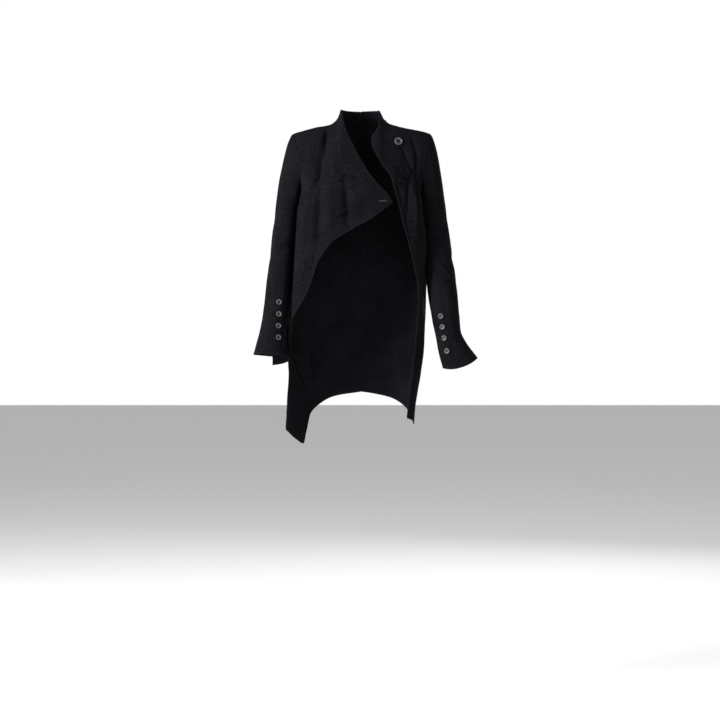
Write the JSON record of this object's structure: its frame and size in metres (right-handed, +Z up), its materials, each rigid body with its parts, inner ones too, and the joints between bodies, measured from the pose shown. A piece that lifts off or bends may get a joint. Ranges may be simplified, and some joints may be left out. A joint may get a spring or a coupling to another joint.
{
  "type": "asymmetrical jacket",
  "caption": "Black asymmetrical jacket, worn open, with a draped right front, a free right tail and flared cuffs.",
  "frame": {"origin": "midway between the two shoulder seams' neck points, where the jacket hangs on the shoulders", "axes": "+Z up, +X to the wearer's left, and the wearer faces -Y"},
  "size_m": [0.5798, 0.2612, 0.873],
  "materials": {
    "cloth": "matt crinkled crepe",
    "horn": "satin"
  },
  "bodies": {
    "root": {"front_right": "cloth", "front_left": "cloth", "back_right": "cloth", "back_left": "cloth", "stand_right": "cloth", "stand_left": "cloth", "sleeve_right_top": "cloth", "sleeve_right_under": "cloth", "sleeve_left_top": "cloth", "sleeve_left_under": "cloth", "button_cuff_right_1": "horn", "button_cuff_right_2": "horn", "button_cuff_right_3": "horn", "button_cuff_right_4": "horn", "button_cuff_left_1": "horn", "button_cuff_left_2": "horn", "button_cuff_left_3": "horn", "button_cuff_left_4": "horn", "button_neck": "horn"}
  },
  "joints": []
}
